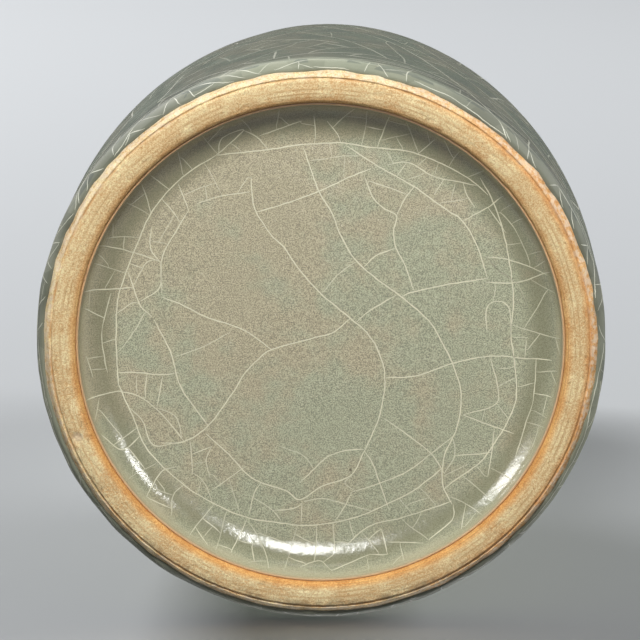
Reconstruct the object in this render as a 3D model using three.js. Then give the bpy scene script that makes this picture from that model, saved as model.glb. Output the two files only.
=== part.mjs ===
import { Group, LatheGeometry, MathUtils, Mesh, MeshStandardMaterial, Vector2 } from "three";

// A celadon vase of mallet form: the clay sections that are luted together, and the coats of glaze.
// Millimetres, +Z up. The origin is the centre of the foot ring's resting face.

// Foot ring
const footRadius = 50;
const ringWidth = 5.4;
const grooveInset = 0.9;
const grooveWidth = 0.5;
const grooveDepth = 0.35;
const beadLift = 0.3;
const landBevel = 0.3;
const innerRound = 1.2;
const glazeLine = 1.4;

// Recess under the base, from the table to the glazed panel
const recessDepth = 5.5;
const coveWidth = 8.2;

// Outside of the clay body
const heelSpread = 1.3;
const heelRound = 4;
const bellyHeight = 48;
const bellyRound = 300;
const bodyTaper = 5.2;
const bodyHeight = 92;
const shoulderRound = 10;
const shoulderCant = 28;
const neckRadius = 18.7;
const rootRound = 9;
const waistDraw = 0.7;
const waistRise = 41;
const waistRound = 300;
const neckLength = 66;
const flareRound = 7;
const mouthSpread = 14.4;
const dishCant = 32;
const dishRound = 5;
const lipHeight = 7.4;

// Clay walls
const baseThickness = 6.5;
const floorRound = 8;
const bodyWall = 5;
const shoulderWall = 5;
const neckWall = 4.2;
const dishWall = 3.6;
const lipWall = 3.2;
const leastRound = 2;

// Glaze coats
const outerCoat = 0.9;
const innerCoat = 0.8;
const baseCoat = 0.9;
const coveEdge = 0.5;

// The fired bond between joined pieces: a film of slip between sections, and the seat of each coat
const bond = 0.05;

// Facets of a full turn, and how far a facet may stray from a rounded corner
const facets = 36;
const facetSag = 0.2;
const coveSteps = 4;
const rollSteps = 2;
const edgeSteps = 3;

const clay = new MeshStandardMaterial({ color: 0xc8a878, roughness: 0.85, metalness: 0 });
const celadon = new MeshStandardMaterial({ color: 0xa3aa90, roughness: 0.22, metalness: 0 });
const celadonInside = new MeshStandardMaterial({ color: 0x9aa38a, roughness: 0.3, metalness: 0 });

const vase = new Group();
vase.name = "celadon_vase";

// Levels and radii that several pieces share
const ringInnerRadius = footRadius - ringWidth;
const panelRadius = ringInnerRadius - coveWidth;
const panelHeight = recessDepth + baseCoat;
const floorHeight = panelHeight + baseThickness;
const bodyRadius = footRadius + heelSpread;
const cavityRadius = bodyRadius - bodyWall;

// A corner of the section, at a radius and a height, with the radius of its rounding.
function corner(name, radius, height, round = 0) {
  return { name, at: new Vector2(radius, height), round };
}

function leftOf(direction) {
  return new Vector2(-direction.y, direction.x);
}

// The outside corners, from the edge of the bare ring up to the lip.
function outsideCorners() {
  const shoulderRadius = bodyRadius - bodyTaper;
  const shoulderRise = (shoulderRadius - neckRadius) * Math.tan(MathUtils.degToRad(shoulderCant));
  const rootHeight = bodyHeight + shoulderRise;
  const flareHeight = rootHeight + neckLength;
  const dishHeight = flareHeight + mouthSpread * Math.tan(MathUtils.degToRad(dishCant));
  const mouthRadius = neckRadius + mouthSpread;
  return [
    corner("ringEdge", footRadius, glazeLine),
    corner("heel", bodyRadius, glazeLine + heelSpread, heelRound),
    corner("belly", bodyRadius, bellyHeight, bellyRound),
    corner("shoulder", shoulderRadius, bodyHeight, shoulderRound),
    corner("root", neckRadius, rootHeight, rootRound),
    corner("waist", neckRadius - waistDraw, rootHeight + waistRise, waistRound),
    corner("flare", neckRadius, flareHeight, flareRound),
    corner("dish", mouthRadius, dishHeight, dishRound),
    corner("lip", mouthRadius, dishHeight + lipHeight, lipWall / 2),
  ];
}

// The inside corners: each straight run of the outside, moved inward by the wall that it has there.
function insideCorners(outside, walls) {
  const runs = walls.map((wall, i) => {
    const along = outside[i + 1].at.clone().sub(outside[i].at).normalize();
    const start = outside[i].at.clone().addScaledVector(leftOf(along), wall);
    return { along, start, wall };
  });
  return outside.slice(1).map(({ name, at, round }, i) => {
    const before = runs[i];
    const after = runs[i + 1];
    if (!after) {
      return corner(name + "Inside", at.x - before.wall, at.y, round);
    }
    const bend = before.along.cross(after.along);
    const apart = after.start.clone().sub(before.start);
    const moved = before.start.clone().addScaledVector(before.along, apart.cross(after.along) / bend);
    const wall = (before.wall + after.wall) / 2;
    const insideRound = Math.max(leastRound, round - Math.sign(bend) * wall);
    return corner(name + "Inside", moved.x, moved.y, insideRound);
  });
}

// The points of one rounded corner, each with the direction that leads out of the clay.
function roundedCorner(before, here, after) {
  const into = here.at.clone().sub(before.at);
  const away = after.at.clone().sub(here.at);
  const turn = Math.atan2(into.cross(away), into.dot(away));
  const halfTan = Math.tan(Math.abs(turn) / 2);
  const roomBefore = into.length() * (before.round ? 0.5 : 1);
  const roomAfter = away.length() * (after.round ? 0.5 : 1);
  const reach = Math.min(here.round * halfTan, roomBefore, roomAfter);
  const radius = reach / halfTan;
  const side = Math.sign(turn);
  into.normalize();
  const start = here.at.clone().addScaledVector(into, -reach);
  const centre = start.clone().addScaledVector(leftOf(into), side * radius);
  const steps = Math.ceil(Math.abs(turn) / (2 * Math.acos(1 - facetSag / radius)));
  return Array.from({ length: steps + 1 }, (_, step) => {
    const at = start.clone().rotateAround(centre, (turn * step) / steps);
    const out = at.clone().sub(centre).multiplyScalar(side / radius);
    return { at, out };
  });
}

// The whole face of the clay in section, up the outside, over the lip and down to the floor's centre,
// with the first and the last point of each corner by name.
function tracedFace(corners) {
  const points = [];
  const first = {};
  const last = {};
  corners.forEach((here, i) => {
    const before = corners[i - 1];
    const after = corners[i + 1];
    first[here.name] = points.length;
    if (before && after) {
      points.push(...roundedCorner(before, here, after));
    } else {
      const along = (after ?? here).at.clone().sub((before ?? here).at).normalize();
      points.push({ at: here.at, out: leftOf(along).negate() });
    }
    last[here.name] = points.length - 1;
  });
  return { points, first, last };
}

const outside = outsideCorners();
const walls = [bodyWall, bodyWall, shoulderWall, neckWall, neckWall, dishWall, lipWall];
const inside = insideCorners(outside.slice(1), walls).reverse();
const floorCorner = corner("floorCorner", cavityRadius, floorHeight, floorRound);
const floorCentre = corner("floorCentre", 0, floorHeight);
const face = tracedFace([...outside, ...inside, floorCorner, floorCentre]);

// A stretch of the clay's face, moved out of the clay by a distance.
function stretch(from, to, lift = 0) {
  return face.points.slice(from, to + 1).map(({ at, out }) => at.clone().addScaledVector(out, lift));
}

// The same stretch with its last point drawn back by the film of a joint.
function drawnBack(points) {
  const end = points.at(-1);
  const toPrevious = points.at(-2).clone().sub(end).normalize();
  return [...points.slice(0, -1), end.clone().addScaledVector(toPrevious, bond)];
}

// Turns a closed section, or one that starts and ends on the axis, about the vase's axis.
function turned(name, section, material) {
  const closed = section[0].x === 0 ? section : [...section, section[0]];
  const geometry = new LatheGeometry(closed, facets).rotateX(Math.PI / 2);
  const mesh = new Mesh(geometry, material);
  mesh.name = name;
  vase.add(mesh);
}

// The hollow curve between the recess's panel and the ring, from the ring in to the panel.
function cove(inset, drop) {
  return Array.from({ length: coveSteps + 1 }, (_, step) => {
    const angle = (Math.PI / 2) * (1 - step / coveSteps);
    const radius = panelRadius + (coveWidth - inset) * Math.sin(angle);
    const rise = (panelHeight - glazeLine - drop) * (1 - Math.cos(angle));
    return new Vector2(radius, panelHeight - drop - rise);
  });
}

// An edge of the ring, rounded as a quarter of an ellipse from its side down to its underside.
function roundedEdge(side, underside) {
  return Array.from({ length: edgeSteps }, (_, step) => {
    const angle = ((step + 1) / edgeSteps) * (Math.PI / 2);
    const radius = underside.x + (side.x - underside.x) * Math.cos(angle);
    return new Vector2(radius, side.y + (underside.y - side.y) * Math.sin(angle));
  });
}

// The ring that the vase stands on, with its flat land, a fine groove outside it and the cove inside.
function addFootRing() {
  const grooveRadius = footRadius - grooveInset;
  const bead = new Vector2(grooveRadius + grooveWidth / 2, beadLift);
  const landInner = new Vector2(ringInnerRadius + innerRound, 0);
  const underside = [
    ...roundedEdge(new Vector2(footRadius, glazeLine), bead),
    new Vector2(grooveRadius, beadLift + grooveDepth),
    new Vector2(grooveRadius - grooveWidth / 2, beadLift),
    new Vector2(grooveRadius - grooveWidth / 2 - landBevel, 0),
    ...roundedEdge(new Vector2(ringInnerRadius, glazeLine), landInner).reverse(),
  ];
  const seat = new Vector2(cavityRadius, panelHeight);
  const heel = stretch(face.first.ringEdge, face.last.heel).reverse();
  turned("foot_ring", [...heel, ...underside, ...cove(0, 0), seat].reverse(), clay);
}

// The slab that closes the bottom. It lies on the ring, inside the wall.
function addBaseSlab() {
  const radius = cavityRadius - bond;
  const underside = panelHeight + bond;
  const top = floorHeight - bond;
  const section = [
    new Vector2(0, underside),
    new Vector2(radius, underside),
    new Vector2(radius, top),
    new Vector2(0, top),
  ];
  turned("base_slab", section, clay);
}

// The thrown wall, with a fillet of clay that is pressed into the corner over the slab.
function addBodyWall() {
  const up = stretch(face.last.heel, face.first.shoulder);
  const down = stretch(face.last.shoulderInside, face.last.floorCorner);
  const overSlab = new Vector2(cavityRadius, floorHeight);
  const onRing = new Vector2(cavityRadius, panelHeight + bond);
  up[0].y += bond;
  turned("body_wall", [...drawnBack(up), ...drawnBack(down.reverse()).reverse(), overSlab, onRing], clay);
}

function addShoulder() {
  const up = stretch(face.first.shoulder, face.last.root);
  const down = stretch(face.first.rootInside, face.last.shoulderInside);
  turned("shoulder", [...drawnBack(up), ...drawnBack(down.reverse()).reverse()], clay);
}

function addNeck() {
  const up = stretch(face.last.root, face.first.flare);
  const down = stretch(face.last.flareInside, face.first.rootInside);
  turned("neck", [...drawnBack(up), ...drawnBack(down.reverse()).reverse()], clay);
}

function addDishMouth() {
  turned("dish_mouth", stretch(face.first.flare, face.last.flareInside), clay);
}

// The coat outside, from a rolled edge over the ring up to the lip, over it and down the dish.
function addOuterGlaze() {
  const backFace = stretch(face.first.ringEdge, face.last.flareInside, bond);
  const skin = stretch(face.first.ringEdge, face.last.flareInside, outerCoat);
  const edge = face.points[face.first.ringEdge];
  const upHeel = leftOf(edge.out);
  const rollRadius = outerCoat - bond;
  const rollCentre = backFace[0].clone().addScaledVector(upHeel, rollRadius);
  const roll = Array.from({ length: rollSteps }, (_, step) =>
    backFace[0].clone().rotateAround(rollCentre, ((Math.PI / 2) * (step + 1)) / rollSteps),
  );
  turned("outer_glaze", [...roll, ...skin.slice(1), ...backFace.reverse()], celadon);
}

// The coat inside, from the top of the neck down over the floor.
function addInnerGlaze() {
  const toDish = (lift) =>
    drawnBack(stretch(face.last.flareInside, face.last.floorCentre, lift).reverse());
  turned("inner_glaze", [...toDish(bond), ...toDish(innerCoat).reverse()], celadonInside);
}

// The coat in the recess: an even one on the panel, running out thin at the ring's inner edge.
function addBaseGlaze() {
  const backFace = cove(bond, bond).reverse();
  const skin = cove(coveEdge, baseCoat);
  const section = [
    new Vector2(0, panelHeight - bond),
    ...backFace,
    ...skin,
    new Vector2(0, recessDepth),
  ];
  turned("base_glaze", section.reverse(), celadon);
}

addFootRing();
addBaseSlab();
addBodyWall();
addShoulder();
addNeck();
addDishMouth();
addOuterGlaze();
addInnerGlaze();
addBaseGlaze();

export default vase;
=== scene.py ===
import math
import random

import bpy
from mathutils import Matrix, Vector, noise
from mathutils.bvhtree import BVHTree


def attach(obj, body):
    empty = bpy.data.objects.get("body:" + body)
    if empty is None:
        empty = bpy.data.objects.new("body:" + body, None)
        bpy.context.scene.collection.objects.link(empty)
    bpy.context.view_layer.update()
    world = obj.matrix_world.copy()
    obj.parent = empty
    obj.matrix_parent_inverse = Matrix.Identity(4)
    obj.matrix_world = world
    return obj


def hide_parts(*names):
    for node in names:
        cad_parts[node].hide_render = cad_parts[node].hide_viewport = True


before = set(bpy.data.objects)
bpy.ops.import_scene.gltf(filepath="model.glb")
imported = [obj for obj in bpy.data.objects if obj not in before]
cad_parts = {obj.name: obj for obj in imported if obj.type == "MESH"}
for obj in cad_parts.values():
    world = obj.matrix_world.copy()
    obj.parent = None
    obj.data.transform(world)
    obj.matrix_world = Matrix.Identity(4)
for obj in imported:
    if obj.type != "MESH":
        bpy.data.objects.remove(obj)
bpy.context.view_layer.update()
scene = bpy.context.scene
mm = 0.001  # lengths are written in millimetres, and Blender works in metres
noise.seed_set(11)  # else the vectors of this noise change from run to run
print("frame loaded:", len(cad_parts), "solids")


# A colour from 0 to 255 as the eye sees it, turned into what a shader socket holds
def tone(red, green, blue):
    def linear(value):
        value /= 255
        return value / 12.92 if value <= 0.04045 else ((value + 0.055) / 1.055) ** 2.4

    return (linear(red), linear(green), linear(blue), 1.0)


# A value, colour or place in a shader's tree. Sums and products of values lay down their own nodes.
class Flow:
    def __init__(self, tree, socket):
        self.tree = tree
        self.socket = socket

    def __add__(self, other):
        return maths("ADD", self, other)

    def __sub__(self, other):
        return maths("SUBTRACT", self, other)

    def __rsub__(self, other):
        return maths("SUBTRACT", other, self)

    def __mul__(self, other):
        return maths("MULTIPLY", self, other)

    def __truediv__(self, other):
        return maths("DIVIDE", self, other)

    def __pow__(self, other):
        return maths("POWER", self, other)


# Adds a shader node, with its inputs by name or number, each a value or the flow that feeds it
def add(tree, kind, inputs=None, **settings):
    node = tree.nodes.new("ShaderNode" + kind)
    for name, value in settings.items():
        setattr(node, name, value)
    for name, value in (inputs or {}).items():
        if isinstance(value, Flow):
            tree.links.new(value.socket, node.inputs[name])
        else:
            node.inputs[name].default_value = value
    return node


# Adds a node to the tree of the flows that feed it, and gives one of its outputs
def flow(kind, inputs, output=0, **settings):
    tree = next(value.tree for value in inputs.values() if isinstance(value, Flow))
    return Flow(tree, add(tree, kind, inputs, **settings).outputs[output])


# Adds a node and gives all its outputs by name
def flows(tree, kind, inputs=None, **settings):
    return {socket.name: Flow(tree, socket) for socket in add(tree, kind, inputs, **settings).outputs}


# Feeds a node's inputs by name
def feed(node, **given):
    for label, value in given.items():
        value.tree.links.new(value.socket, node.inputs[label.replace("_", " ")])


def maths(operation, first, second=0.0, clamp=False):
    return flow("Math", {0: first, 1: second}, operation=operation, use_clamp=clamp)


# Goes smoothly from 0 at one value to 1 at another
def rising(value, start, end):
    inputs = {"Value": value, "From Min": start, "From Max": end}
    return flow("MapRange", inputs, interpolation_type="SMOOTHSTEP")


# Is 1 at the middle and falls smoothly to 0 at a distance on both sides
def band(value, middle, reach):
    return rising(maths("ABSOLUTE", value - middle), reach, 0.0)


def mixed(factor, first, second, blend="MIX"):
    return flow("Mix", {0: factor, 6: first, 7: second}, 2, data_type="RGBA", blend_type=blend)


# Noise with blobs of about a size in millimetres, from about 0.3 to 0.7
def blobs(place, size, detail=2.0, rough=0.5):
    return flow("TexNoise", {"Vector": place, "Scale": 1 / size, "Detail": detail, "Roughness": rough})


# Cells of about a size: how far each place is from its cell's middle, in parts of that size, and a
# chance for each cell
def cells(place, size, part=0):
    made = flows(place.tree, "TexVoronoi", {"Vector": place, "Scale": 1 / size})
    return made["Distance"], flow("SeparateColor", {0: made["Color"]}, part)


def farFrom(place, spot):
    return flow("VectorMath", {0: place, 1: spot}, "Value", operation="DISTANCE")


# A place's distance from the axis, its height, and how far across and down it lies in the base's view
def placeParts(place):
    flat = flow("VectorMath", {0: place, 1: (1.0, 1.0, 0.0)}, operation="MULTIPLY")
    radius = flow("VectorMath", {0: flat}, "Value", operation="LENGTH")
    axes = flows(place.tree, "SeparateXYZ", {0: place})
    return radius, axes["Z"], axes["X"], axes["Y"]


# The rings that the potter's fingers leave, as a wave from -1 to 1 that wanders
def throwingRings(place, size, detail, wander, spacing=4.6):
    _, height, _, _ = placeParts(place)
    return maths("SINE", height * (math.tau / spacing) + blobs(place, size, detail) * wander)


# Starts a group and gives it, the flows that come in, and a function that gives it its results
def startGroup(name, inputs, results):
    group = bpy.data.node_groups.new(name, "ShaderNodeTree")
    for label, kind, value in [("Vector", "Vector", None)] + inputs:
        socket = group.interface.new_socket(label, in_out="INPUT", socket_type="NodeSocket" + kind)
        if value is not None:
            socket.default_value = value
    for label, kind in results:
        group.interface.new_socket(label, in_out="OUTPUT", socket_type="NodeSocket" + kind)
    given = {socket.name: Flow(group, socket) for socket in group.nodes.new("NodeGroupInput").outputs}
    end = group.nodes.new("NodeGroupOutput")
    return group, given, lambda **found: feed(end, **found)


# Uses a shared group at a place
def used(group, place, **inputs):
    return flows(place.tree, "Group", {"Vector": place, **inputs}, node_tree=group)


# Starts a material and gives it with its shader and the place on the piece in millimetres
def startMaterial(name, **sockets):
    material = bpy.data.materials.new(name)
    material.use_nodes = True
    tree = material.node_tree
    shader = tree.nodes["Principled BSDF"]
    for label, value in sockets.items():
        shader.inputs[label.replace("_", " ")].default_value = value
    around = flows(tree, "TexCoord")["Object"]
    return material, shader, flow("VectorMath", {0: around, "Scale": 1 / mm}, operation="SCALE")


# Feeds a shader's normal from a height, of which 1 stands for a depth in millimetres
def relief(shader, height, depth):
    feed(shader, Normal=flow("Bump", {"Height": height, "Distance": depth * mm}))


# What a fired celadon glaze shows close up: warm, cool and rosy clouds, a fine mottle, bubbles and specks
def makeGlazeTone():
    inputs = [
        ("Warm", "Color", tone(169, 161, 134)),
        ("Cool", "Color", tone(160, 162, 136)),
        ("Coolness", "Float", 0.5),
        ("Mottle", "Float", 0.9),
    ]
    group, given, give = startGroup("glazeTone", inputs, [("Color", "Color"), ("Bubbles", "Float")])
    place = given["Vector"]
    clouds = blobs(place, 13, 3.0, 0.55) * 0.7 + blobs(place, 4.5) * 0.3
    colour = mixed(rising(clouds + given["Coolness"], 0.9, 1.1), given["Warm"], given["Cool"])
    rosy = rising(blobs(place, 6.0), 0.52, 0.66)
    colour = mixed(rosy * 0.06, colour, tone(184, 168, 146))

    fine = rising(blobs(place, 0.2, 2.0, 0.8), 0.36, 0.64)
    light = (fine - 0.5) * given["Mottle"] + 1.0
    colour = mixed(1.0, colour, flow("CombineColor", {0: light, 1: light, 2: light}), "MULTIPLY")

    far, chance = cells(place, 0.75)
    bubbles = rising(far / (chance ** 2.4 * 0.19), 1.0, 0.35)
    colour = mixed(bubbles * 0.7, colour, tone(222, 215, 192))

    far, chance = cells(place, 9.0, part=1)
    speck = rising(far, 0.024, 0.01) * rising(chance, 0.72, 0.74)
    give(Color=mixed(speck * 0.7, colour, tone(82, 70, 54)), Bubbles=bubbles)
    return group


# The skin of a glaze: a faint orange peel, slow waves and bubbles that stand up
def makeGlazeSkin():
    inputs = [("Bubbles", "Float", 0.0), ("Peel", "Float", 0.35)]
    group, given, give = startGroup("glazeSkin", inputs, [("Height", "Float")])
    place = given["Vector"]
    give(Height=blobs(place, 0.8) * given["Peel"] + blobs(place, 7.0, 1.0) + given["Bubbles"] * 0.12)
    return group


# Bare fired clay: sandy grains, blotches and pits
def makeClayGrain():
    inputs = [("Pale", "Color", tone(255, 240, 190)), ("Deep", "Color", tone(214, 168, 114))]
    group, given, give = startGroup("clayGrain", inputs, [("Color", "Color"), ("Height", "Float")])
    place = given["Vector"]
    blotch = rising(blobs(place, 5.0, 3.0, 0.6), 0.4, 0.62)
    sand = rising(blobs(place, 0.29, 3.0, 0.9), 0.4, 0.58)
    pits = rising(blobs(place, 0.7, 3.0, 0.8), 0.4, 0.3)
    colour = mixed(blotch * 0.3 + sand * 0.7, given["Deep"], given["Pale"])
    give(Color=mixed(pits * 0.6, colour, tone(162, 120, 76)), Height=sand * 0.35 + 0.5 - pits * 0.5)
    return group


glazeTone = makeGlazeTone()
glazeSkin = makeGlazeSkin()
clayGrain = makeClayGrain()
print("shared shader groups made")

# The vase's outline, with the same lengths as the solids. A round belongs to the corner before it.
form = dict(
    footRadius=50, ringWidth=5.4, glazeLine=1.4, recessDepth=5.5, coveWidth=8.2, heelSpread=1.3, heelRound=4,
    bellyHeight=48, bellyRound=300, bodyTaper=5.2, bodyHeight=92, shoulderRound=10, shoulderCant=28,
    neckRadius=18.7, rootRound=9, waistDraw=0.7, waistRise=41, waistRound=300, neckLength=66, flareRound=7,
    mouthSpread=14.4, dishCant=32, dishRound=5, lipHeight=7.4, baseThickness=6.5, floorRound=8, bodyWall=5,
    shoulderWall=5, neckWall=4.2, dishWall=3.6, lipWall=3.2, leastRound=2, outerCoat=0.9, innerCoat=0.8,
    baseCoat=0.9, coveEdge=0.5, sunk=0.3, sag=0.004, longestStep=2.0, hiddenSag=0.05, hiddenStep=60,
)
panelRadius = form["footRadius"] - form["ringWidth"] - form["coveWidth"]
panelHeight = form["recessDepth"] + form["baseCoat"]
ringInner = form["footRadius"] - form["ringWidth"]


def leftOf(direction):
    return Vector((-direction.y, direction.x))


# The outside corners of the clay from the ring up to the lip, each with its rounding
def outsideCorners():
    bodyRadius = form["footRadius"] + form["heelSpread"]
    shoulderRadius = bodyRadius - form["bodyTaper"]
    neckRadius = form["neckRadius"]
    root = form["bodyHeight"] + (shoulderRadius - neckRadius) * math.tan(math.radians(form["shoulderCant"]))
    flare = root + form["neckLength"]
    dish = flare + form["mouthSpread"] * math.tan(math.radians(form["dishCant"]))
    mouthRadius = neckRadius + form["mouthSpread"]
    return [
        (Vector((form["footRadius"], form["glazeLine"])), 0),
        (Vector((bodyRadius, form["glazeLine"] + form["heelSpread"])), form["heelRound"]),
        (Vector((bodyRadius, form["bellyHeight"])), form["bellyRound"]),
        (Vector((shoulderRadius, form["bodyHeight"])), form["shoulderRound"]),
        (Vector((neckRadius, root)), form["rootRound"]),
        (Vector((neckRadius - form["waistDraw"], root + form["waistRise"])), form["waistRound"]),
        (Vector((neckRadius, flare)), form["flareRound"]),
        (Vector((mouthRadius, dish)), form["dishRound"]),
        (Vector((mouthRadius, dish + form["lipHeight"])), form["lipWall"] / 2),
    ]


# The inside corners from the lip down: the outside's runs moved in by the wall that each has
def insideCorners(outside):
    names = ("bodyWall", "bodyWall", "shoulderWall", "neckWall", "neckWall", "dishWall", "lipWall")
    walls = [form[name] for name in names]
    runs = []
    for (here, _), (after, _), wall in zip(outside, outside[1:], walls):
        along = (after - here).normalized()
        runs.append((along, here + leftOf(along) * wall, wall))
    corners = []
    for (_, rounding), before, after in zip(outside[1:], runs, runs[1:]):
        bend = before[0].cross(after[0])
        at = before[1] + before[0] * ((after[1] - before[1]).cross(after[0]) / bend)
        wall = (before[2] + after[2]) / 2
        corners.append((at, max(form["leastRound"], rounding - math.copysign(wall, bend))))
    lip, rounding = outside[-1]
    corners.append((lip - Vector((walls[-1], 0)), rounding))
    return corners[::-1]


# One rounded corner as points with the directions that lead out of the clay
def roundedCorner(before, here, after, sag):
    into, away = here[0] - before[0], after[0] - here[0]
    turn = math.atan2(into.cross(away), into.dot(away))
    halfTan = math.tan(abs(turn) / 2)
    rooms = into.length * (0.5 if before[1] else 1), away.length * (0.5 if after[1] else 1)
    radius = min(here[1] * halfTan, *rooms) / halfTan
    side = math.copysign(1, turn)
    into.normalize()
    start = here[0] - into * radius * halfTan
    centre = start + leftOf(into) * side * radius
    step = min(form["longestStep"], math.sqrt(8 * radius * sag))
    count = max(2, math.ceil(abs(turn) * radius / step))
    points = []
    for i in range(count + 1):
        spoke = Matrix.Rotation(turn * i / count, 2) @ (start - centre)
        points.append((centre + spoke, spoke.normalized() * side))
    return points


# The clay's whole face in section, with the first and last point of each corner
def tracedFace(corners, sag, longestRun):
    points, marks = [], []
    for i, here in enumerate(corners):
        if 0 < i < len(corners) - 1:
            fresh = roundedCorner(corners[i - 1], here, corners[i + 1], sag)
        else:
            ends = corners[:2] if i == 0 else corners[-2:]
            fresh = [(here[0], -leftOf((ends[1][0] - ends[0][0]).normalized()))]
        if points:
            (last, out), (first, _) = points[-1], fresh[0]
            pieces = math.ceil((first - last).length / longestRun)
            points += [(last.lerp(first, k / pieces), out) for k in range(1, pieces)]
        marks.append((len(points), len(points) + len(fresh) - 1))
        points += fresh
    return points, marks


outside = outsideCorners()
floorHeight = panelHeight + form["baseThickness"]
cavityRadius = form["footRadius"] + form["heelSpread"] - form["bodyWall"]
floor = [(Vector((cavityRadius, floorHeight)), form["floorRound"]), (Vector((0, floorHeight)), 0)]
corners = outside + insideCorners(outside[1:]) + floor
face, marks = tracedFace(corners, form["sag"], form["longestStep"])
hidden, hiddenMarks = tracedFace(corners, form["hiddenSag"], form["hiddenStep"])  # for backs nobody sees
flareInside = 11  # the corner at the top of the neck, where the outer coat meets the inner one
rootHeight, dishHeight, lipTop = outside[4][0].y, outside[7][0].y, outside[8][0].y


def moved(points, lift):
    return [at + out * lift for at, out in points]


def addPlane(name, size, location=(0, 0, 0), rotation=(0, 0, 0)):
    bpy.ops.object.select_all(action="DESELECT")
    bpy.ops.mesh.primitive_plane_add(size=size, location=location, rotation=rotation)
    plane = bpy.context.object
    plane.name = plane.data.name = name
    return plane


# Turns the active piece's faces outwards, after merging its points that lie nearer than a distance
def turnOutwards(nearer=None):
    bpy.ops.object.mode_set(mode="EDIT")
    bpy.ops.mesh.select_all(action="SELECT")
    if nearer:
        bpy.ops.mesh.remove_doubles(threshold=nearer)
    bpy.ops.mesh.normals_make_consistent(inside=False)
    bpy.ops.object.mode_set(mode="OBJECT")


# Turns a section about the vase's axis. A closed one ends on its first point.
def turned(name, section, segments):
    piece = addPlane(name, 1 * mm)
    bpy.ops.object.mode_set(mode="EDIT")
    bpy.ops.mesh.select_all(action="SELECT")
    bpy.ops.mesh.merge(type="CENTER")
    bpy.ops.transform.translate(value=(section[0].x * mm, 0, section[0].y * mm))
    for before, here in zip(section, section[1:]):
        step = (here - before) * mm
        bpy.ops.mesh.extrude_vertices_move(TRANSFORM_OT_translate={"value": (step.x, 0, step.y)})
    bpy.ops.object.mode_set(mode="OBJECT")
    turn = piece.modifiers.new("turn", "SCREW")
    turn.steps = turn.render_steps = segments
    bpy.ops.object.modifier_apply(modifier=turn.name)
    turnOutwards(0.002 * mm)
    bpy.ops.object.shade_smooth()
    return piece


# Presses a piece's skin in along its normals, by a depth in millimetres that depends on the place
def press(piece, depthAt):
    vertices = piece.data.vertices
    normals = [vertex.normal.copy() for vertex in vertices]
    for vertex, normal in zip(vertices, normals):
        depth = depthAt(vertex.co / mm)
        if depth:
            vertex.co -= normal * depth * mm
    piece.data.update()


pieces = []


def finished(piece, material, nodes=()):
    piece.data.materials.clear()
    piece.data.materials.append(material)
    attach(piece, "root")
    if nodes:
        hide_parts(*nodes)
    pieces.append(piece)
    print(piece.name, len(piece.data.polygons), "faces")
    return piece


# A smooth step from 0 to 1, as the shader's
def eased(value, start, end):
    share = min(1, max(0, (value - start) / (end - start)))
    return share * share * (3 - 2 * share)


# The hollow curve between the recess's panel and the ring, from the ring in
def cove(inset, drop, steps):
    points = []
    for i in range(steps + 1):
        angle = math.pi / 2 * (1 - i / steps)
        radius = panelRadius + (form["coveWidth"] - inset) * math.sin(angle)
        rise = (panelHeight - form["glazeLine"] - drop) * (1 - math.cos(angle))
        points.append(Vector((radius, panelHeight - drop - rise)))
    return points


# The bare ring that the vase stands on
ring = dict(
    segments=720, rows=58, coveRows=8, squareness=2.4, bunching=0.9, groove=0.9, grooveHalf=0.25,
    grooveDepth=0.35, secondLine=2.6, bareFrom=0.5, pitDepth=0.1, pitScales=(0.9, 2.3), finePits=0.6,
    turningDepth=0.02, turningRate=9, turningWander=1.5, edgeWear=0.2, edgeFrom=(49.2, 49.8),
    edgeWearScale=0.35, chip=(-44.4, 17.3), chipLength=1.5, chipWidth=0.9, chipDepth=0.28, chipStray=0.25,
)


def makeFootRing():
    middle = (ringInner + form["footRadius"]) / 2
    half = form["ringWidth"] / 2
    groove = form["footRadius"] - ring["groove"]
    underside = []
    for i in range(ring["rows"] + 1):
        across = math.cos(math.pi * i / ring["rows"])
        across = math.copysign(abs(across) ** ring["bunching"], across)
        power = ring["squareness"]
        height = form["glazeLine"] * (1 - (1 - abs(across) ** power) ** (1 / power))
        radius = middle + half * across
        cut = max(0, 1 - ((radius - groove) / ring["grooveHalf"]) ** 2)
        underside.append(Vector((radius, height + ring["grooveDepth"] * cut)))
    heel = [at for at, _ in hidden[: hiddenMarks[1][1] + 1]]
    seat = Vector((cavityRadius, panelHeight))
    section = heel[::-1] + underside[1:-1] + cove(0, 0, ring["coveRows"]) + [seat, heel[-1]]
    piece = turned("footRing", section, ring["segments"])

    chip = Vector(ring["chip"])
    outward = chip.normalized()

    def worn(at):
        radius = Vector((at.x, at.y)).length
        if at.z > form["glazeLine"] or radius < ringInner - 0.01:
            return 0
        bare = eased(form["glazeLine"] - at.z, 0, ring["bareFrom"])
        coarse, fine = (noise.noise(at * scale) for scale in ring["pitScales"])
        pits = eased(coarse, 0.25, 0.6) + ring["finePits"] * eased(fine, 0.2, 0.6)
        wander = ring["turningWander"] * noise.noise(at * 0.05)
        lines = 0.5 + 0.5 * math.sin(radius * ring["turningRate"] + wander)
        patchy = eased(noise.noise(at * ring["edgeWearScale"]), -0.1, 0.5)
        edge = ring["edgeWear"] * eased(radius, *ring["edgeFrom"]) * patchy
        offset = Vector((at.x, at.y)) - chip
        along, across = offset.dot(leftOf(outward)), offset.dot(outward)
        far = math.hypot(along / ring["chipLength"], across / ring["chipWidth"])
        chipped = ring["chipDepth"] * eased(far + ring["chipStray"] * noise.noise(at * 1.5), 1, 0.6)
        return bare * (pits * ring["pitDepth"] + lines * ring["turningDepth"] + edge + chipped)

    press(piece, worn)
    return piece


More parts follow.
